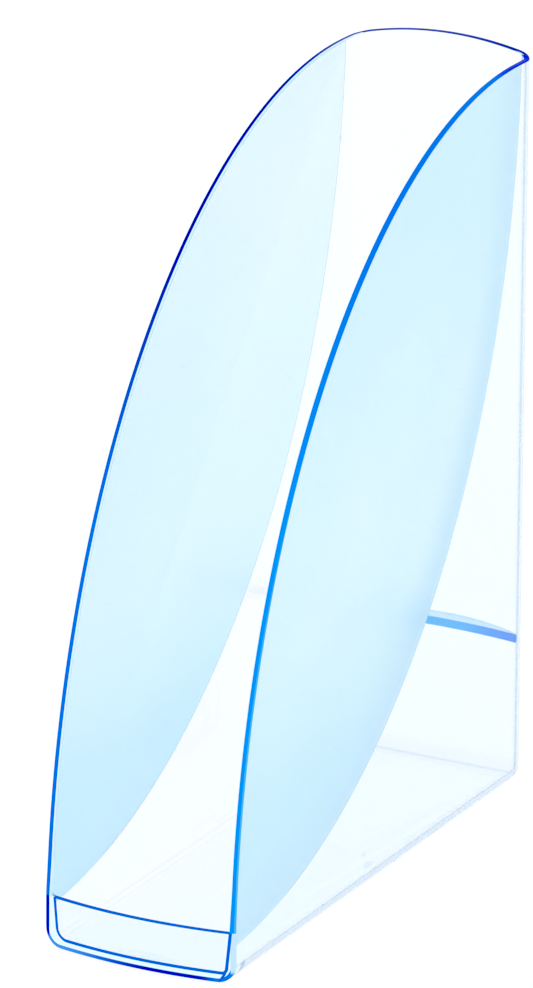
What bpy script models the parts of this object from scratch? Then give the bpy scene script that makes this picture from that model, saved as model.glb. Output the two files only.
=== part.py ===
"""Magazine file holder: a tall, narrow box moulded in clear ice-blue plastic.

The box is open at the front and at the top. Its side walls lean inwards a little towards the
rim. They sweep down from the rear rim to a low front lip in a quarter ellipse, and each carries
a frosted crescent along that curved edge. The moulding is divided where its walls and its
finishes meet.

Axes: X is the width, Y runs from the open front (-Y) to the rear wall (+Y), Z is up.
All lengths are in metres. Local Y = 0 is the front edge of the side walls, and the parent empty
shifts everything so that the origin is the bottom centre of the whole object's box.
"""

import math

import bmesh
import bpy

# Overall sizes
BASE_HALF_WIDTH = 0.0426     # at the top of the base's rounded edges
RIM_HALF_WIDTH = 0.0410
SIDE_DEPTH = 0.258           # front edge of the side walls to the outside of the rear wall
RIM_HEIGHT = 0.315           # top of the side walls, and of the rear wall at its corners
RIM_ARCH = 0.0054            # how far the rear rim rises above its corners at mid width
WALL = 0.0025
GAP = 0.0003                 # clearance where two divided walls meet

# Curved edges of the side walls, as quarter ellipses
SWEEP_DEPTH = 0.244          # from the front edge back to where the rim runs level
SWEEP_BASE = 0.0032          # height where the front edge starts to sweep back
CRESCENT_CENTRE = (-0.0145, 0.325)      # Y and Z
CRESCENT_RADII = (0.2593, 0.3095)       # along Y and along Z

# Rounded corners
CORNER_RADIUS = 0.0078       # upright corners at the rear
BASE_RADIUS = 0.0075         # lower edges along the sides and the rear, outside
BASE_INNER_RADIUS = BASE_RADIUS - WALL

# Front lip
LIP_HEIGHT = 0.0212
LIP_BOW = 0.0045             # how far the front bows forward at mid width

# Pull ledge outside the rear wall
LEDGE_WIDTH = 0.075
LEDGE_DEPTH = 0.008          # at mid width
LEDGE_END_DEPTH = 0.001
LEDGE_THICKNESS = 0.0036
LEDGE_TOP = 0.0635           # height of the ledge's upper face at its ends
LEDGE_ARCH = 0.0014

# Fineness of the curves
SWEEP_STEPS = 72
CORNER_STEPS = 8
BOW_STEPS = 24

SPLIT_HEIGHT = BASE_RADIUS + GAP                     # where the walls stand on the floor's rim
SPLIT_DEPTH = SIDE_DEPTH - CORNER_RADIUS - GAP       # where the side walls meet the rear wall
TOTAL_DEPTH = LIP_BOW + SIDE_DEPTH + GAP + LEDGE_DEPTH

# Colour, roughness and opacity
CLEAR = ((0.80, 0.94, 1.0), 0.05, 0.35)
FROSTED = ((0.55, 0.82, 0.97), 0.45, 0.75)


def remove_everything():
    for item in list(bpy.data.objects):
        bpy.data.objects.remove(item, do_unlink=True)


def make_material(node_name, finish):
    """One Principled material for one sub-part."""
    colour, roughness, alpha = finish
    material = bpy.data.materials.new(node_name + "_material")
    material.use_nodes = True
    shader = material.node_tree.nodes["Principled BSDF"]
    shader.inputs["Base Color"].default_value = (*colour, 1.0)
    shader.inputs["Roughness"].default_value = roughness
    shader.inputs["Metallic"].default_value = 0.0
    shader.inputs["Alpha"].default_value = alpha
    return material


def loft(node_name, sections, finish, parent):
    """Bridge a row of equal point loops and cap both ends: one closed solid."""
    mesh = bpy.data.meshes.new(node_name)
    shape = bmesh.new()
    loops = [[shape.verts.new(point) for point in section] for section in sections]
    for lower, upper in zip(loops, loops[1:]):
        for index, vertex in enumerate(lower):
            following = (index + 1) % len(lower)
            shape.faces.new((vertex, lower[following], upper[following], upper[index]))
    shape.faces.new(loops[0][::-1])
    shape.faces.new(loops[-1])
    bmesh.ops.recalc_face_normals(shape, faces=shape.faces)
    shape.to_mesh(mesh)
    shape.free()
    mesh.shade_smooth()
    mesh.set_sharp_from_angle(angle=math.radians(30))
    mesh.materials.append(make_material(node_name, finish))
    item = bpy.data.objects.new(node_name, mesh)
    item.parent = parent
    bpy.context.collection.objects.link(item)
    return item


def arc(centre, radii, start, end, steps):
    """Points of an elliptical arc between two angles in degrees, both ends included."""
    points = []
    for step in range(steps + 1):
        angle = math.radians(start + (end - start) * step / steps)
        first = centre[0] + radii[0] * math.cos(angle)
        second = centre[1] + radii[1] * math.sin(angle)
        points.append((first, second))
    return points


# Curves of the side walls, as (Y, Z) points

def sweep_depth(height):
    """How far back the front edge of a side wall has swept at this height."""
    risen = max(0.0, height - SWEEP_BASE) / (RIM_HEIGHT - SWEEP_BASE)
    return SWEEP_DEPTH * (1 - math.sqrt(1 - risen ** 2))


def sweep_edge():
    """The front edge of a side wall, from the floor's rim up to the level part of the rim."""
    radii = (SWEEP_DEPTH, RIM_HEIGHT - SWEEP_BASE)
    lowest = math.degrees(math.asin((SPLIT_HEIGHT - SWEEP_BASE) / radii[1]))
    return arc((SWEEP_DEPTH, SWEEP_BASE), radii, 180 - lowest, 90, SWEEP_STEPS)


def crescent_border(outward):
    """The inner border of the frosted crescent, from the wall's front edge up to its rim.

    outward moves the border away from the crescent, towards the clear part of the wall.
    """
    centre_y, centre_z = CRESCENT_CENTRE
    radius_y, radius_z = (radius + outward for radius in CRESCENT_RADII)
    start = 0.0
    for _ in range(3):
        lowest = math.acos((start - centre_y) / radius_y)
        start = sweep_depth(centre_z - radius_z * math.sin(lowest))
    highest = math.asin((RIM_HEIGHT - centre_z) / radius_z)
    limits = (-math.degrees(lowest), math.degrees(highest))
    return arc(CRESCENT_CENTRE, (radius_y, radius_z), *limits, SWEEP_STEPS)


def crescent_outline():
    """Between the wall's front edge and the crescent's border, with a point at each end."""
    border = crescent_border(0.0)
    lowest, rearmost = border[0][1], border[-1][0]
    front = [(y, z) for y, z in sweep_edge() if z > lowest + GAP and y < rearmost - GAP]
    return border + front[::-1]


def clear_outline():
    """Behind and below the crescent, down to the floor and back to the rear wall."""
    border = crescent_border(GAP)
    front = [(y, z) for y, z in sweep_edge() if z < border[0][1] - GAP]
    corners = [(SPLIT_DEPTH, RIM_HEIGHT), (SPLIT_DEPTH, SPLIT_HEIGHT)]
    return front + border + corners


def half_width(height):
    """Half the outside width at this height: the side walls lean inwards towards the rim."""
    risen = (height - BASE_RADIUS) / (RIM_HEIGHT - BASE_RADIUS)
    return BASE_HALF_WIDTH + (RIM_HALF_WIDTH - BASE_HALF_WIDTH) * max(0.0, risen)


def side_plate(node_name, outline, side, finish, parent):
    """A flat plate of the wall's thickness; side is -1 for left and +1 for right."""
    inner = [(side * (half_width(z) - WALL), y, z) for y, z in outline]
    outer = [(side * half_width(z), y, z) for y, z in outline]
    return loft(node_name, [inner, outer], finish, parent)


# Curves of the plan, as (X, Y) points

def bow(x, reach):
    """1 at mid width and 0 at the given reach, as a parabola."""
    return 1.0 - (x / reach) ** 2


def front_line(side_inset, front_inset):
    """The bowed front, from left to right, each end and the whole line moved inwards."""
    reach = BASE_HALF_WIDTH - side_inset
    points = []
    for step in range(BOW_STEPS + 1):
        x = reach * (2 * step / BOW_STEPS - 1)
        points.append((x, front_inset - LIP_BOW * bow(x, BASE_HALF_WIDTH)))
    return points


def rear_line(inset, height):
    """The rear wall's plan line with its rounded corners, from right to left."""
    reach = half_width(height) - CORNER_RADIUS
    depth = SIDE_DEPTH - CORNER_RADIUS
    radii = (CORNER_RADIUS - inset, CORNER_RADIUS - inset)
    points = arc((reach, depth), radii, 0, 90, CORNER_STEPS)
    for step in range(1, BOW_STEPS):
        points.append((reach * (1 - 2 * step / BOW_STEPS), SIDE_DEPTH - inset))
    return points + arc((-reach, depth), radii, 90, 180, CORNER_STEPS)


def build_floor(parent):
    """A shallow tray with rounded edges along the sides and the rear and an upright front."""
    def ring(side_inset, front_inset, height):
        plan = front_line(side_inset, front_inset) + rear_line(side_inset, height)
        return [(x, y, height) for x, y in plan]

    sections = []
    for step in range(CORNER_STEPS + 1):
        angle = math.radians(90 * step / CORNER_STEPS)
        inset = BASE_RADIUS * (1 - math.sin(angle))
        sections.append(ring(inset, 0.0, BASE_RADIUS * (1 - math.cos(angle))))
    for step in range(CORNER_STEPS + 1):
        angle = math.radians(90 * step / CORNER_STEPS)
        inset = WALL + BASE_INNER_RADIUS * (1 - math.cos(angle))
        sections.append(ring(inset, WALL, BASE_RADIUS - BASE_INNER_RADIUS * math.sin(angle)))
    return loft("floor_plate", sections, CLEAR, parent)


def build_rear_wall(parent):
    """A flat wall with rounded upright corners and an arched rim."""
    foot_outer, foot_inner = rear_line(0.0, SPLIT_HEIGHT), rear_line(WALL, SPLIT_HEIGHT)
    rim_outer, rim_inner = rear_line(0.0, RIM_HEIGHT), rear_line(WALL, RIM_HEIGHT)
    sections = []
    for index, rim in enumerate(rim_outer):
        top = RIM_HEIGHT + RIM_ARCH * bow(rim[0], RIM_HALF_WIDTH)
        sections.append([
            (*foot_outer[index], SPLIT_HEIGHT),
            (*rim, top),
            (*rim_inner[index], top),
            (*foot_inner[index], SPLIT_HEIGHT),
        ])
    return loft("rear_wall", sections, CLEAR, parent)


def build_lip(parent):
    """The low front wall, between the two side walls."""
    side_inset = BASE_HALF_WIDTH - half_width(LIP_HEIGHT) + WALL + GAP
    sections = []
    for x, front in front_line(side_inset, 0.0):
        sections.append([
            (x, front, SPLIT_HEIGHT),
            (x, front, LIP_HEIGHT),
            (x, front + WALL, LIP_HEIGHT),
            (x, front + WALL, SPLIT_HEIGHT),
        ])
    return loft("front_lip", sections, CLEAR, parent)


def build_ledge(parent):
    """An arched ledge, lens-shaped in plan, with round ends, against the rear wall."""
    end_radius = LEDGE_THICKNESS / 2
    straight_reach = LEDGE_WIDTH / 2 - end_radius
    last_angle = 75
    stations = []
    for step in range(CORNER_STEPS):
        angle = math.radians(last_angle * (1 - step / CORNER_STEPS))
        x = -straight_reach - end_radius * math.sin(angle)
        stations.append((x, end_radius * math.cos(angle)))
    for step in range(BOW_STEPS + 1):
        stations.append((straight_reach * (2 * step / BOW_STEPS - 1), end_radius))
    stations += [(-x, half) for x, half in stations[:CORNER_STEPS][::-1]]

    root = SIDE_DEPTH + GAP
    sections = []
    for x, half in stations:
        middle = LEDGE_TOP - end_radius + LEDGE_ARCH * bow(x, LEDGE_WIDTH / 2)
        reach = LEDGE_END_DEPTH + (LEDGE_DEPTH - LEDGE_END_DEPTH) * bow(x, LEDGE_WIDTH / 2)
        sections.append([
            (x, root, middle - half),
            (x, root, middle + half),
            (x, root + reach, middle + half),
            (x, root + reach, middle - half),
        ])
    return loft("pull_ledge", sections, CLEAR, parent)


def build():
    remove_everything()
    parent = bpy.data.objects.new("magazine_file", None)
    parent.location.y = LIP_BOW - TOTAL_DEPTH / 2
    bpy.context.collection.objects.link(parent)

    for side_name, side in (("left", -1), ("right", 1)):
        side_plate("side_wall_" + side_name, clear_outline(), side, CLEAR, parent)
        side_plate("frosted_crescent_" + side_name, crescent_outline(), side, FROSTED, parent)
    build_rear_wall(parent)
    build_floor(parent)
    build_lip(parent)
    build_ledge(parent)


build()
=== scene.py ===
"""Looks of the magazine file holder: one clear ice-blue moulding on a pale floor in soft light."""
import math

import bmesh
import bpy
from mathutils import Matrix, Vector


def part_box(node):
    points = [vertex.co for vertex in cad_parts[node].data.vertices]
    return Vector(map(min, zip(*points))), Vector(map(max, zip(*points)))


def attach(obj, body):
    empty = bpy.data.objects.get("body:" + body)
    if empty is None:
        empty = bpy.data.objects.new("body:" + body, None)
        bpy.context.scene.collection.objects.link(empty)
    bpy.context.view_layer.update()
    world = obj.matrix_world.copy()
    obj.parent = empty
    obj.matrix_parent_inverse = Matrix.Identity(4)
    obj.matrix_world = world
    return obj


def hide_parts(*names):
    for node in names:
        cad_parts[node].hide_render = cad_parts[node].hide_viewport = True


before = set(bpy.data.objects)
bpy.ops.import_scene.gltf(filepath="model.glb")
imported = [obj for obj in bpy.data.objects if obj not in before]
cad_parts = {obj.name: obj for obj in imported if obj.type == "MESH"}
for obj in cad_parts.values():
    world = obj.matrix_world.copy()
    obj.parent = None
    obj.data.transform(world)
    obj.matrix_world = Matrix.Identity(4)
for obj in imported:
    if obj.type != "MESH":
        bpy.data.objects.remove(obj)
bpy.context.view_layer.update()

# ------------------------------------------------------------------ sizes, from the frame's boxes

SIDE_LOW, SIDE_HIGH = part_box("side_wall_right")
FLOOR_LOW, FLOOR_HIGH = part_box("floor_plate")
LEDGE_LOW, LEDGE_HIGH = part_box("pull_ledge")
REAR_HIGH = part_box("rear_wall")[1]
LIP_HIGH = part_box("front_lip")[1]

BASE_HALF_WIDTH = FLOOR_HIGH.x
RIM_HALF_WIDTH = 0.0410
WALL = 0.0025
FRONT_Y = SIDE_LOW.y                     # front edge of the side walls
REAR_Y = REAR_HIGH.y
RIM_HEIGHT = SIDE_HIGH.z
RIM_ARCH = REAR_HIGH.z - RIM_HEIGHT
BASE_RADIUS = FLOOR_HIGH.z
FLAT_HALF_WIDTH = BASE_HALF_WIDTH - BASE_RADIUS
CORNER_RADIUS = 0.0078
LIP_HEIGHT = LIP_HIGH.z
LIP_BOW = FRONT_Y - FLOOR_LOW.y

# Curved edges of the side walls, measured from (FRONT_Y, 0)
SWEEP_DEPTH = 0.244
SWEEP_BASE = 0.0032
SWEEP_START = 0.0012                     # depth where the sweep leaves the lip
CRESCENT_CENTRE = (-0.0145, 0.325)
CRESCENT_RADII = (0.2593, 0.3095)

# Arched ledge against the rear wall
LEDGE_HALF = LEDGE_HIGH.x
LEDGE_ROOT = LEDGE_LOW.y
LEDGE_DEPTH = LEDGE_HIGH.y - LEDGE_LOW.y
LEDGE_END_DEPTH = 0.001
LEDGE_THICKNESS = 0.0036
LEDGE_ARCH = 0.0014
LEDGE_TOP = LEDGE_HIGH.z - LEDGE_ARCH
LEDGE_END_ANGLE = 15                     # where the ledge's round ends are cut off, in degrees
LEDGE_ROUNDING = 0.0003

# Rounding of the shell's edges
ROUNDING = 0.0008
RIM_OUTER_ROUNDING = 0.0003
RIM_INNER_ROUNDING = 0.0006
OUTLINE_ROUNDING = 0.0005
FILLET = 0.0008
SHARP_ANGLE = math.radians(40)           # edges sharper than this are rounded
SMOOTH_ANGLE = math.radians(35)          # edges blunter than this are shaded smooth

# Fineness of the curves
SWEEP_STEPS = 72
CORNER_STEPS = 10
BOW_STEPS = 28
LEDGE_STEPS = 40
LEDGE_END_STEPS = 8


def arc(centre, radii, start, end, steps):
    points = []
    for step in range(steps + 1):
        angle = math.radians(start + (end - start) * step / steps)
        points.append((centre[0] + radii[0] * math.cos(angle), centre[1] + radii[1] * math.sin(angle)))
    return points


def bow(x, reach):
    return 1.0 - (x / reach) ** 2


def spread(reach, steps):
    """Evenly spaced values from -reach to reach."""
    return [reach * (2 * step / steps - 1) for step in range(steps + 1)]


def strip(shape, first, second):
    """A row of faces between two lines of vertices."""
    for index in range(len(first) - 1):
        shape.faces.new((first[index], first[index + 1], second[index + 1], second[index]))


def half_width(height):
    """Half the outside width at this height: the side walls lean inwards towards the rim."""
    risen = (height - BASE_RADIUS) / (RIM_HEIGHT - BASE_RADIUS)
    return BASE_HALF_WIDTH + (RIM_HALF_WIDTH - BASE_HALF_WIDTH) * max(0.0, risen)


def front_y(x):
    return FRONT_Y - LIP_BOW * bow(x, BASE_HALF_WIDTH)


def sweep_points():
    """Rim of a side wall from just above the lip to where it runs level, as (Y, Z)."""
    radii = (SWEEP_DEPTH, RIM_HEIGHT - SWEEP_BASE)
    points = arc((SWEEP_DEPTH, SWEEP_BASE), radii, 180, 90, SWEEP_STEPS)
    return [(FRONT_Y + y, z) for y, z in points if y > SWEEP_START]


# ------------------------------------------------------------------ the moulded shell

class Skin:
    """One face of the moulding: the outer at inset 0, the inner at inset WALL.

    Its vertices lie in chains round the sides and the rear, one for each level of the rounded
    base, and in three more lines: the rear rim, the lip's top and the lip's foot.
    """

    def __init__(self, shape, inset):
        self.shape = shape
        self.inset = inset
        self.vertices = []
        self.chains = [self.chain(step) for step in range(CORNER_STEPS + 1)]
        self.rim = []
        for x, y in self.plan(inset, RIM_HEIGHT)[1:-1]:
            rise = max(0.0, bow(x, RIM_HALF_WIDTH - inset))
            self.rim.append(self.vertex(x, y, RIM_HEIGHT + RIM_ARCH * rise))
        self.lip = [self.vertex(x, front_y(x) + inset, LIP_HEIGHT) for x in self.lip_line()]
        foot = spread(FLAT_HALF_WIDTH, BOW_STEPS)[1:-1]
        self.foot = [self.vertex(x, front_y(x) + inset, inset) for x in foot]

    def vertex(self, x, y, z):
        vertex = self.shape.verts.new((x, y, z))
        self.vertices.append(vertex)
        return vertex

    def plan(self, side, height):
        """A U-shaped line round the sides and the rear, this far inside the outer face."""
        reach = half_width(height) - side
        depth = REAR_Y - CORNER_RADIUS
        corner = half_width(height) - CORNER_RADIUS
        radii = (CORNER_RADIUS - side, CORNER_RADIUS - side)
        plan = [(-reach, front_y(-reach) + self.inset)]
        plan += arc((-corner, depth), radii, 180, 90, CORNER_STEPS)
        plan += [(x, REAR_Y - side) for x in spread(corner, BOW_STEPS)[1:-1]]
        plan += arc((corner, depth), radii, 90, 0, CORNER_STEPS)
        plan.append((reach, front_y(reach) + self.inset))
        return plan

    def chain(self, step):
        """One level of the rounded base."""
        angle = math.radians(90 * step / CORNER_STEPS)
        radius = BASE_RADIUS - self.inset
        side = self.inset + radius * (1 - math.sin(angle))
        height = self.inset + radius * (1 - math.cos(angle))
        return [self.vertex(x, y, height) for x, y in self.plan(side, height)]

    def lip_line(self):
        """X of the points along the lip's top, above those along its foot."""
        outer = half_width(LIP_HEIGHT)
        ends = [outer - WALL] if self.inset > 0 else [outer - WALL, outer]
        return [-x for x in ends[::-1]] + spread(FLAT_HALF_WIDTH, BOW_STEPS) + ends

    def build(self):
        """The floor with its rounded edges, the rear wall and the lip."""
        for low, high in zip(self.chains, self.chains[1:]):
            strip(self.shape, low, high)
        strip(self.shape, self.chains[-1][1:-1], self.rim)
        self.shape.faces.new(self.foot[::-1] + self.chains[0])
        ends = (len(self.lip) - (BOW_STEPS + 1)) // 2
        feet = [self.chains[0][0]] + self.foot + [self.chains[0][-1]]
        strip(self.shape, feet, self.lip[ends:-ends])
        left = [chain[0] for chain in self.chains]
        right = [chain[-1] for chain in self.chains]
        self.shape.faces.new(left + self.lip[:ends + 1])
        self.shape.faces.new(right + self.lip[::-1][:ends + 1])

    def side(self, side, lip_end):
        """One side wall; returns its rim, from the lip to the rear corner."""
        end, near = (0, 1) if side < 0 else (-1, -2)
        sweep = [self.vertex(side * (half_width(z) - self.inset), y, z) for y, z in sweep_points()]
        rim = [lip_end] + sweep + [self.rim[end]]
        level = self.chains[-1]
        outline = rim + [level[near], level[end]]
        if self.inset > 0:
            outline.append(self.lip[end])
        self.shape.faces.new(outline)
        return rim


def rounding(edge, inside):
    """Rounding of this edge of the shell: rims, the lip's outline and the fillets behind the lip."""
    angle = edge.calc_face_angle_signed()
    if abs(angle) < SHARP_ANGLE:
        return 0.0
    if angle < 0:
        return FILLET
    if inside.intersection(edge.verts):
        return RIM_INNER_ROUNDING
    if min(vertex.co.z for vertex in edge.verts) < LIP_HEIGHT - 0.0001:
        return OUTLINE_ROUNDING
    return RIM_OUTER_ROUNDING


def finish_piece(name, shape):
    """The mesh as an object with a bevel modifier and smooth shading."""
    mesh = bpy.data.meshes.new(name)
    shape.to_mesh(mesh)
    shape.free()
    piece = bpy.data.objects.new(name, mesh)
    bpy.context.collection.objects.link(piece)
    bevel = piece.modifiers.new("rounded_edges", "BEVEL")
    for polygon in mesh.polygons:
        polygon.use_smooth = True
    mesh.set_sharp_from_angle(angle=SMOOTH_ANGLE)
    return piece, bevel


def build_shell():
    shape = bmesh.new()
    outer = Skin(shape, 0.0)
    inner = Skin(shape, WALL)
    outer.build()
    inner.build()
    strip(shape, outer.rim, inner.rim)
    # the lip's outer line has one more point at each end, where the side walls begin
    strip(shape, outer.lip[1:-1], inner.lip)
    for side in (-1, 1):
        end, corner = (0, 1) if side < 0 else (-1, -2)
        outer_rim = outer.side(side, outer.lip[end])
        inner_rim = inner.side(side, outer.lip[corner])
        strip(shape, outer_rim, inner_rim)
    bmesh.ops.recalc_face_normals(shape, faces=shape.faces)
    inside = set(inner.vertices)
    layer = shape.edges.layers.float.new("bevel_weight_edge")
    for edge in shape.edges:
        edge[layer] = rounding(edge, inside) / ROUNDING
    shell, bevel = finish_piece("moulded_shell", shape)
    bevel.limit_method = "WEIGHT"
    bevel.width = ROUNDING
    bevel.segments = 4
    bevel.use_clamp_overlap = False
    return shell


def build_ledge():
    """An arched ledge, lens-shaped in plan, with round ends."""
    end_radius = LEDGE_THICKNESS / 2
    straight = LEDGE_HALF - end_radius
    ends = []
    for step in range(LEDGE_END_STEPS):
        angle = math.radians(LEDGE_END_ANGLE + (90 - LEDGE_END_ANGLE) * step / LEDGE_END_STEPS)
        ends.append((straight + end_radius * math.cos(angle), end_radius * math.sin(angle)))
    stations = [(-x, half) for x, half in ends]
    stations += [(x, end_radius) for x in spread(straight, LEDGE_STEPS)]
    stations += ends[::-1]
    shape = bmesh.new()
    rings = []
    for x, half in stations:
        rise = bow(x, LEDGE_HALF)
        middle = LEDGE_TOP - end_radius + LEDGE_ARCH * rise
        far = LEDGE_ROOT + LEDGE_END_DEPTH + (LEDGE_DEPTH - LEDGE_END_DEPTH) * rise
        low, high = middle - half, middle + half
        section = ((LEDGE_ROOT, low), (LEDGE_ROOT, high), (far, high), (far, low))
        rings.append([shape.verts.new((x, y, z)) for y, z in section])
    for first, second in zip(rings, rings[1:]):
        strip(shape, first + first[:1], second + second[:1])
    shape.faces.new(rings[0])
    shape.faces.new(rings[-1][::-1])
    bmesh.ops.recalc_face_normals(shape, faces=shape.faces)
    ledge, bevel = finish_piece("pull_ledge_plate", shape)
    bevel.width = LEDGE_ROUNDING
    bevel.segments = 2
    bevel.angle_limit = SHARP_ANGLE
    return ledge


# ------------------------------------------------------------------ material

WHITE = (1, 1, 1, 1)

# Painted light: tones of the edges that stand in for the light the tinted plastic gathers there, where it
# looks deep blue, and for the pale bands beside them; left and right differ as the light falls
LOOP_BLUE = (0.0, 0.133, 0.70, 1)
PALE_BAND = (0.80, 0.975, 1.0, 1)
FOOT_LEFT = (0.08, 0.29, 0.86, 1)
FOOT_RIGHT = (0.0, 0.02, 0.52, 1)
FOOT_CORNER = (0.0, 0.20, 0.75, 1)
FLANK_LEFT = (0.0, 0.006, 0.62, 1)
FLANK_RIGHT = (0.56, 0.80, 0.98, 1)
RIM_LEFT_LOW = (0.004, 0.18, 0.80, 1)
RIM_LEFT_HIGH = (0.0, 0.007, 0.43, 1)
RIM_RIGHT_LOW = (0.012, 0.30, 0.93, 1)
RIM_RIGHT_EDGE = (0.09, 0.46, 0.90, 1)
RIM_RIGHT_HIGH = (0.003, 0.19, 0.83, 1)
RIM_CORNER = (0.0, 0.004, 0.62, 1)
RIM_PALE = (0.74, 0.95, 1.0, 1)
REAR_RIM = (0.013, 0.021, 0.40, 1)
LEDGE_MIDDLE = (0.02, 0.41, 0.93, 1)
LEDGE_END = (0.0, 0.18, 0.93, 1)
LEDGE_TOP_TONE = (0.62, 0.80, 1.0, 1)

# Tones of the frosted crescents: low, middle and high, with painted shade that changes with height; the
# right one is also shaded along its border
FROST_LEFT = ((0.40, 0.77, 0.955, 1), (0.65, 0.92, 0.99, 1), (0.77, 0.955, 1.0, 1))
FROST_RIGHT = ((0.60, 0.87, 0.985, 1), (0.76, 0.95, 1.0, 1), (0.66, 0.90, 0.99, 1))
FROST_RIGHT_BORDER = (0.60, 0.84, 0.98, 1)
FROST_CLOUD = (0.56, 0.84, 0.97, 1)

# Painted light and shade, faint, where walls and finishes meet: a pale tone with a darker fold on the right
# side's base, shade along the crescents' borders and in the floor's creases
CORNER_TONE = (0.90, 0.985, 1.0, 1)
FOLD_SHADE = (0.80, 0.88, 0.985, 1)
SEAM_SHADE = (0.50, 0.72, 0.85, 1)
CREASE_SHADE = (0.56, 0.66, 0.86, 1)
CREASE_LEFT = 0.12
CREASE_RIGHT = 0.35
CREASE_REAR = 0.75
SHADE = 0.28

# How much of the clear plastic each tone hides
FROST_COVER = 0.5
SKIRT_COVER = 0.7
SEAM_COVER = 0.25
CREASE_COVER = 0.1
FOOT_COVER = 0.9
FLANK_COVER_LEFT = 0.95
FLANK_COVER_RIGHT = 0.6
RIM_COVER = 0.95
LEDGE_COVER = 0.02

# Painted glow lines round the lip; the loop sits to the right and is rounded differently on each side as
# the light falls
LIP_REACH = 0.008                        # depth behind the front edge that counts as the lip
FACE_DEPTH = 0.0011                      # depth that counts as the lip's front face
LOOP_WIDTH = 0.0013
LOOP_SHIFT = 0.0013
LOOP_HALF_WIDTH = 0.0393
LOOP_SLANT = 0.095
LOOP_BOTTOM = 0.0042
LOOP_RADIUS_LEFT = 0.0045
LOOP_RADIUS_RIGHT = 0.0018
TAIL = (0.0380, 0.0392)                  # X of the line from the loop's corner to the foot
TAIL_SLANT = 0.6
TOP_WIDTH = 0.0003
FOOT_WIDTH = 0.0017
FLANK_WIDTH = 0.0018
FLANK_BOTTOM = 0.0045

# Widths and heights of the other tones
MARGIN = 0.0002
FROST_SKIN = 0.00045
SEAM = (0.9982, 1.0003)                  # as shares of the crescent's ellipse
CREASE = (0.0035, 0.0043)
SHADED = (0.004, 0.013)
FOLD = (0.0042, 0.0056)
RIM_SHARE = 0.0005 / 0.28                # width of the rim's tone as a share of the sweep
ARCH_HALF_WIDTH = 0.0398
RIM_LEFT_WIDTHS = (0.0018, 0.0016)       # low and high
RIM_EDGE_WIDTH = 0.0007
CORNER_RIM_WIDTH = 0.0017

# The plastic itself
IOR = 1.55
SPECULAR_TINT = (0.0, 0.4, 1.0, 1)
SPECULAR_LEVEL = 0.02
TINT = (0.0, 0.69, 0.985, 1)
TINT_DENSITY = 21.7
FROST_ROUGHNESS = (0.235, 0.265)
VEIL_ROUGHNESS = 0.2
GRAIN_SCALE = 900.0
CLOUD_SCALE = 28.0
CLOUD_SHARE = 0.12


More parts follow.
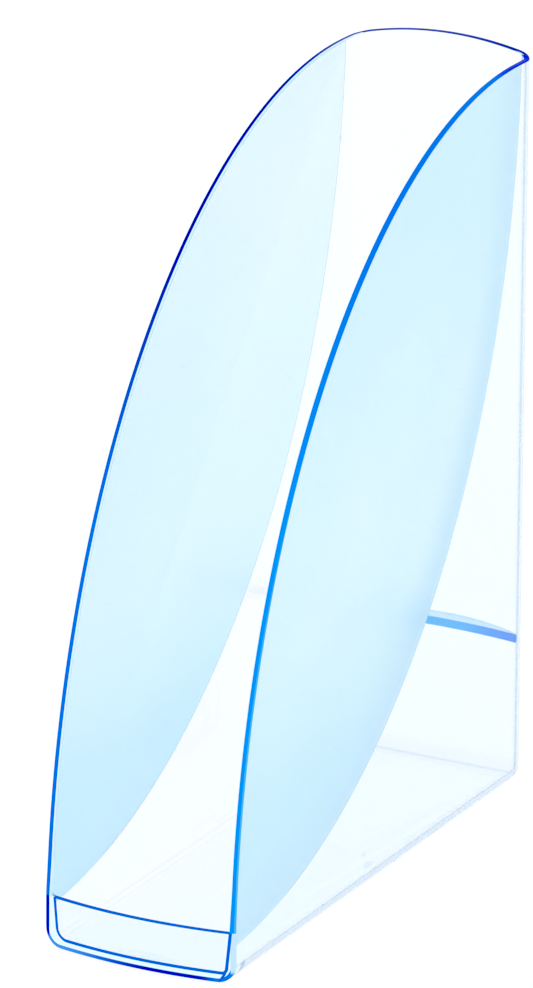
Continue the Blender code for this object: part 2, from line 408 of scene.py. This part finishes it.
class Graph:
    """One material of the tinted plastic: short names for its nodes, and the tones laid on it."""

    def __init__(self, name):
        self.material = bpy.data.materials.new(name)
        self.material.use_nodes = True
        self.nodes = self.material.node_tree.nodes
        self.links = self.material.node_tree.links
        self.colour = WHITE
        self.painted = 0.0
        self.coordinates = self.nodes.new("ShaderNodeTexCoord").outputs["Object"]
        split = self.nodes.new("ShaderNodeSeparateXYZ")
        self.links.new(self.coordinates, split.inputs[0])
        self.x, self.y, self.z = split.outputs

    def put(self, socket, value):
        if isinstance(value, (int, float, tuple)):
            socket.default_value = value
        else:
            self.links.new(value, socket)

    def math(self, operation, *values):
        node = self.nodes.new("ShaderNodeMath")
        node.operation = operation
        for socket, value in zip(node.inputs, values):
            self.put(socket, value)
        return node.outputs[0]

    def add(self, *values):
        return self.math("ADD", *values)

    def less(self, *values):
        return self.math("SUBTRACT", *values)

    def times(self, first, second, *more):
        product = self.math("MULTIPLY", first, second)
        return self.times(product, *more) if more else product

    def over(self, *values):
        return self.math("DIVIDE", *values)

    def most(self, first, second, *more):
        highest = self.math("MAXIMUM", first, second)
        return self.most(highest, *more) if more else highest

    def least(self, *values):
        return self.math("MINIMUM", *values)

    def length(self, first, second):
        return self.math("SQRT", self.add(self.times(first, first), self.times(second, second)))

    def ramp(self, value, low, high, start=0.0, end=1.0):
        """A smooth step from start to end while the value goes from low to high."""
        node = self.nodes.new("ShaderNodeMapRange")
        node.interpolation_type = "SMOOTHSTEP"
        for name, number in (("Value", value), ("From Min", low), ("From Max", high),
                             ("To Min", start), ("To Max", end)):
            self.put(node.inputs[name], number)
        return node.outputs[0]

    def below(self, value, limit, soft=0.0002):
        return self.ramp(self.less(value, limit), -soft / 2, soft / 2, 1.0, 0.0)

    def above(self, value, limit, soft=0.0002):
        return self.ramp(self.less(value, limit), -soft / 2, soft / 2)

    def between(self, value, low, high, soft=0.0002):
        return self.times(self.above(value, low, soft), self.below(value, high, soft))

    def mix(self, factor, first, second):
        node = self.nodes.new("ShaderNodeMix")
        node.data_type = "RGBA"
        self.put(node.inputs[0], factor)
        self.put(node.inputs[6], first)
        self.put(node.inputs[7], second)
        return node.outputs[2]

    def noise(self, scale, detail):
        node = self.nodes.new("ShaderNodeTexNoise")
        node.inputs["Scale"].default_value = scale
        node.inputs["Detail"].default_value = detail
        self.links.new(self.coordinates, node.inputs["Vector"])
        return node.outputs[0]

    def rounded_inset(self, beyond, under, radius):
        """Distance inside the outline of a U with rounded corners."""
        corner = self.length(self.most(beyond, 0.0), self.most(under, 0.0))
        flat = self.least(self.most(beyond, under), 0.0)
        return self.less(self.less(radius, corner), flat)

    def paint(self, mask, tone, cover=1.0):
        """Lay a tone over the ones below it; cover is how much of the clear plastic it hides."""
        self.colour = self.mix(mask, self.colour, tone)
        self.painted = self.most(self.painted, self.times(mask, cover))

    def finish(self, roughness):
        """Set up the shader: clear tinted plastic wherever no tone hides it."""
        shader = self.nodes["Principled BSDF"]
        self.put(shader.inputs["Base Color"], self.colour)
        self.put(shader.inputs["Roughness"], roughness)
        self.put(shader.inputs["Transmission Weight"], self.less(1.0, self.painted))
        shader.inputs["IOR"].default_value = IOR
        shader.inputs["Specular Tint"].default_value = SPECULAR_TINT
        shader.inputs["Specular IOR Level"].default_value = SPECULAR_LEVEL
        absorb = self.nodes.new("ShaderNodeVolumeAbsorption")
        absorb.inputs["Color"].default_value = TINT
        absorb.inputs["Density"].default_value = TINT_DENSITY
        self.put(self.nodes["Material Output"].inputs["Volume"], absorb.outputs[0])
        return self.material


class ShellGraph(Graph):
    """The shell's material, with the masks that its tones share."""

    def __init__(self):
        super().__init__("clear_plastic")
        lean = (RIM_HALF_WIDTH - BASE_HALF_WIDTH) / (RIM_HEIGHT - BASE_RADIUS)
        wall = self.add(BASE_HALF_WIDTH - lean * BASE_RADIUS, self.times(self.z, lean))
        # negative inside the side wall's outer face
        self.beyond = self.less(self.math("ABSOLUTE", self.x), wall)
        self.left = self.below(self.x, 0.0)
        # 1 on the crescent's rear border and less in front of it
        along = self.over(self.less(self.y, FRONT_Y + CRESCENT_CENTRE[0]), CRESCENT_RADII[0])
        height = self.over(self.less(self.z, CRESCENT_CENTRE[1]), CRESCENT_RADII[1])
        self.reach = self.length(along, height)
        self.crescent = self.below(self.reach, 1.0, 0.001)
        self.frost = self.times(self.above(self.beyond, -FROST_SKIN, 0.0003), self.crescent)
        # the inner faces lie deeper than half the wall
        outward = self.add(self.most(self.beyond, self.less(self.y, REAR_Y)), BASE_RADIUS)
        depth = self.rounded_inset(outward, self.less(BASE_RADIUS, self.z), BASE_RADIUS)
        self.inner = self.above(depth, WALL * 0.6)
        self.outer = self.less(1.0, self.inner)
        self.past_lip = self.above(self.y, FRONT_Y + LIP_REACH, 0.002)

    def by_height(self, tones):
        low, middle, high = tones
        lower = self.mix(self.ramp(self.z, 0.045, 0.145), low, middle)
        return self.mix(self.ramp(self.z, 0.16, 0.30), lower, high)

    def paint_frost(self):
        """The crescents' frost, with painted shade: bluer low down, the right one also along its border,
        with faint clouds.
        """
        right = self.by_height(FROST_RIGHT)
        right = self.mix(self.ramp(self.reach, 0.90, 1.0), right, FROST_RIGHT_BORDER)
        tone = self.mix(self.left, right, self.by_height(FROST_LEFT))
        cloud = self.times(self.ramp(self.noise(CLOUD_SCALE, 3.0), 0.3, 0.7), CLOUD_SHARE)
        cover = self.ramp(self.x, -0.01, 0.01, 0.0, FROST_COVER)
        self.paint(self.frost, self.mix(cloud, tone, FROST_CLOUD), cover)

    def paint_join_shade(self):
        """Painted light and shade on the right side's rounded base and rear corner, along the crescents'
        borders and in the floor's creases.
        """
        # painted light and shade, on the right side only: a pale tone over the rounded base and rear
        # corner, darker along the fold
        skirt = self.most(self.below(self.z, BASE_RADIUS, 0.004), self.above(self.y, REAR_Y - 0.009, 0.002))
        skirt = self.times(skirt, self.outer, self.above(self.beyond, -0.005, 0.002))
        skirt = self.times(skirt, self.above(self.x, 0.0), self.past_lip, self.less(1.0, self.frost))
        fold = self.times(self.between(self.z, *FOLD, 0.0014), self.below(self.y, REAR_Y - 0.005, 0.004))
        self.paint(skirt, self.mix(self.times(skirt, fold), CORNER_TONE, FOLD_SHADE), SKIRT_COVER)

        # painted shade along the crescents' borders
        seam = self.times(self.outer, self.between(self.reach, *SEAM, 0.001))
        seam = self.times(seam, self.above(self.z, LIP_HEIGHT + 0.002, 0.002))
        self.paint(seam, SEAM_SHADE, SEAM_COVER)

        # painted shade in the floor's creases, strongest along the rear wall, and fading up the rear wall
        # above the crease
        rearward = self.ramp(self.y, REAR_Y - 0.012, REAR_Y - 0.005)
        strength = self.most(self.times(rearward, CREASE_REAR),
                             self.ramp(self.x, -0.01, 0.01, CREASE_LEFT, CREASE_RIGHT))
        line = self.between(self.add(self.z, self.times(rearward, 0.0006)), *CREASE, 0.0006)
        crease = self.times(self.inner, line, self.past_lip, strength)
        shade = self.times(self.inner, self.ramp(self.z, *SHADED, SHADE, 0.0), rearward)
        self.paint(self.most(crease, shade), CREASE_SHADE, CREASE_COVER)

    def paint_lip(self):
        """Painted light of the lip: the pale band, the glowing foot and flanks of the lip's outline, and
        the glowing loop inside it, each toned by side as the light falls.
        """
        bowed = self.times(self.x, self.x, LIP_BOW / BASE_HALF_WIDTH ** 2)
        behind = self.less(self.less(self.y, FRONT_Y - LIP_BOW), bowed)
        face = self.times(self.below(behind, FACE_DEPTH), self.below(self.z, LIP_HEIGHT + MARGIN))

        narrowing = self.times(self.less(LIP_HEIGHT, self.z), LOOP_SLANT)
        shifted = self.math("ABSOLUTE", self.less(self.x, LOOP_SHIFT))
        loop_side = self.add(self.less(shifted, LOOP_HALF_WIDTH), narrowing)
        radius = self.ramp(self.x, -0.01, 0.01, LOOP_RADIUS_LEFT, LOOP_RADIUS_RIGHT)
        loop_under = self.less(self.add(LOOP_BOTTOM, radius), self.z)
        loop_inset = self.rounded_inset(self.add(loop_side, radius), loop_under, radius)
        self.paint(self.times(face, self.below(loop_inset, 0.0)), PALE_BAND)

        under = self.less(BASE_RADIUS, self.z)
        inset = self.rounded_inset(self.add(self.beyond, BASE_RADIUS), under, BASE_RADIUS)
        tone = self.mix(self.ramp(self.x, -0.035, 0.005), FOOT_LEFT, FOOT_RIGHT)
        tone = self.mix(self.ramp(self.x, 0.028, 0.036), tone, FOOT_CORNER)
        self.paint(self.times(face, self.below(inset, FOOT_WIDTH)), tone, FOOT_COVER)

        flank = self.below(self.less(0.0, self.beyond), FLANK_WIDTH)
        flank = self.times(flank, face, self.above(self.z, FLANK_BOTTOM, 0.002))
        cover = self.ramp(self.left, 0.0, 1.0, FLANK_COVER_RIGHT, FLANK_COVER_LEFT)
        self.paint(flank, self.mix(self.left, FLANK_RIGHT, FLANK_LEFT), cover)

        loop = self.times(face, self.between(loop_inset, -LOOP_WIDTH / 2, LOOP_WIDTH / 2))
        top = self.between(self.z, LIP_HEIGHT - TOP_WIDTH, LIP_HEIGHT + MARGIN)
        top = self.times(top, self.below(behind, WALL - 0.0004), self.above(loop_inset, -LOOP_WIDTH / 2))
        slanted = self.add(self.x, self.times(self.less(LOOP_BOTTOM, self.z), TAIL_SLANT))
        tail = self.times(face, self.below(self.z, LOOP_BOTTOM), self.between(slanted, *TAIL))
        self.paint(self.most(loop, top, tail), LOOP_BLUE)

    def paint_rims(self):
        """Painted edge glow on the rims, from the lip up the sweep and round the rear, toned by side and
        height as the light falls.
        """
        sweep_y = self.over(self.least(self.less(self.y, FRONT_Y + SWEEP_DEPTH), 0.0), SWEEP_DEPTH)
        arch = self.most(self.less(1.0, self.times(self.x, self.x, 1 / ARCH_HALF_WIDTH ** 2)), 0.0)
        arched_z = self.less(self.z, self.times(arch, RIM_ARCH))
        sweep_z = self.over(self.less(arched_z, SWEEP_BASE), RIM_HEIGHT - SWEEP_BASE)
        rear = self.above(self.y, REAR_Y - WALL - 0.0006)
        rim = self.above(self.length(sweep_y, sweep_z), 1 - RIM_SHARE, 0.0006)
        rim = self.times(rim, self.above(self.z, LIP_HEIGHT + MARGIN), self.less(1.0, rear))

        behind = self.less(self.y, REAR_Y - CORNER_RADIUS)
        depth = self.rounded_inset(self.add(self.beyond, CORNER_RADIUS), behind, CORNER_RADIUS)
        left = self.mix(self.ramp(self.z, 0.16, 0.27), RIM_LEFT_LOW, RIM_LEFT_HIGH)
        pale = self.below(depth, self.ramp(self.z, 0.15, 0.27, *RIM_LEFT_WIDTHS))
        left = self.mix(pale, RIM_PALE, left)
        right = self.mix(self.ramp(self.z, 0.16, 0.30), RIM_RIGHT_LOW, RIM_RIGHT_HIGH)
        edge = self.times(self.below(depth, RIM_EDGE_WIDTH), self.ramp(self.z, 0.10, 0.22, 1.0, 0.0))
        right = self.mix(edge, right, RIM_RIGHT_EDGE)
        right = self.mix(self.ramp(self.z, 0.3135, 0.3149), right, RIM_CORNER)
        self.paint(rim, self.mix(self.left, right, left), RIM_COVER)

        rear_rim = self.times(rear, self.above(arched_z, RIM_HEIGHT - 0.0003))
        dark = self.most(self.below(depth, CORNER_RIM_WIDTH, 0.0004), self.below(self.x, 0.034, 0.004))
        self.paint(rear_rim, self.mix(dark, RIM_PALE, REAR_RIM), RIM_COVER)


def shell_material():
    graph = ShellGraph()
    graph.paint_frost()
    graph.paint_join_shade()
    graph.paint_lip()
    graph.paint_rims()
    grain = graph.ramp(graph.noise(GRAIN_SCALE, 2.0), 0.3, 0.7, *FROST_ROUGHNESS)
    veil = graph.times(graph.inner, graph.crescent, VEIL_ROUGHNESS)
    return graph.finish(graph.most(graph.times(graph.frost, grain), veil))


def ledge_material():
    """Pale and clear, with a deep blue face against the rear wall: painted edge glow, deeper towards the
    ends.
    """
    graph = Graph("clear_plastic_ledge")
    graph.colour = LEDGE_TOP_TONE
    graph.painted = LEDGE_COVER
    outward = graph.ramp(graph.math("ABSOLUTE", graph.x), 0.008, 0.032)
    root = graph.below(graph.y, LEDGE_ROOT + 0.0005)
    graph.paint(root, graph.mix(outward, LEDGE_MIDDLE, LEDGE_END))
    return graph.finish(0.0)


shell = build_shell()
ledge = build_ledge()
shell.data.materials.append(shell_material())
ledge.data.materials.append(ledge_material())
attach(shell, "root")
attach(ledge, "root")
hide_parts(*sorted(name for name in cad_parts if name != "pull_ledge"))
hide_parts("pull_ledge")


# ------------------------------------------------------------------ stage, light and camera

FLOOR_SIZE = 6.0
FLOOR_DROP = 0.0003                      # keeps the floor just under the base
FLOOR_GREY = (0.15, 0.15, 0.15, 1)
FLOOR_ROUGHNESS = 0.9
FLOOR_GLOW = 0.86

CAMERA_ANGLES = (27.92, 18.60, 0.45)     # round to the right, up, and roll, in degrees
CAMERA_DISTANCE = 2.71727
CAMERA_SHIFT = (-0.01312, -0.00021)      # to the right and up
CAMERA_TARGET = Vector((0, FRONT_Y + 0.13146, 0.157))
SENSOR_HEIGHT = 36.0
FOCAL_LENGTH = 245.95
BLACK_LEVEL = (0.045, 0.02, 0.0)         # deepens the darkest blues


def build_stage():
    mesh = bpy.data.meshes.new("floor")
    shape = bmesh.new()
    bmesh.ops.create_grid(shape, x_segments=1, y_segments=1, size=FLOOR_SIZE)
    shape.to_mesh(mesh)
    shape.free()
    stage = bpy.data.objects.new("studio_floor", mesh)
    bpy.context.collection.objects.link(stage)
    stage.location.z = -FLOOR_DROP
    material = bpy.data.materials.new("studio_floor")
    material.use_nodes = True
    shader = material.node_tree.nodes["Principled BSDF"]
    shader.inputs["Base Color"].default_value = FLOOR_GREY
    shader.inputs["Roughness"].default_value = FLOOR_ROUGHNESS
    shader.inputs["Emission Color"].default_value = WHITE
    shader.inputs["Emission Strength"].default_value = FLOOR_GLOW
    mesh.materials.append(material)


def build_light():
    world = bpy.data.worlds.new("studio")
    bpy.context.scene.world = world
    world.use_nodes = True
    background = world.node_tree.nodes["Background"]
    background.inputs["Color"].default_value = WHITE
    background.inputs["Strength"].default_value = 1.0


def build_camera():
    azimuth, elevation, roll = (math.radians(angle) for angle in CAMERA_ANGLES)
    back = Vector((math.sin(azimuth) * math.cos(elevation),
                   -math.cos(azimuth) * math.cos(elevation), math.sin(elevation)))
    right = (-back).cross(Vector((0, 0, 1))).normalized()
    up = right.cross(-back)
    turned = math.cos(roll) * right + math.sin(roll) * up
    up = math.cos(roll) * up - math.sin(roll) * right
    shift = turned * CAMERA_SHIFT[0] + up * CAMERA_SHIFT[1]
    place = CAMERA_TARGET + shift + back * CAMERA_DISTANCE
    data = bpy.data.cameras.new("camera")
    data.sensor_fit = "VERTICAL"
    data.sensor_height = SENSOR_HEIGHT
    data.lens = FOCAL_LENGTH
    data.clip_start = 0.1
    data.clip_end = 100
    camera = bpy.data.objects.new("camera", data)
    camera.matrix_world = Matrix((
        (turned.x, up.x, back.x, place.x),
        (turned.y, up.y, back.y, place.y),
        (turned.z, up.z, back.z, place.z),
        (0, 0, 0, 1)))
    bpy.context.collection.objects.link(camera)
    bpy.context.scene.camera = camera


build_stage()
build_light()
build_camera()

scene = bpy.context.scene
scene.view_settings.view_transform = "Standard"
scene.view_settings.use_curve_mapping = True
scene.view_settings.curve_mapping.black_level = BLACK_LEVEL
scene.cycles.max_bounces = 256
scene.cycles.transmission_bounces = 256
scene.cycles.glossy_bounces = 256
scene.cycles.diffuse_bounces = 12
scene.cycles.blur_glossy = 0
scene.cycles.volume_bounces = 0
scene.cycles.sample_clamp_indirect = 0
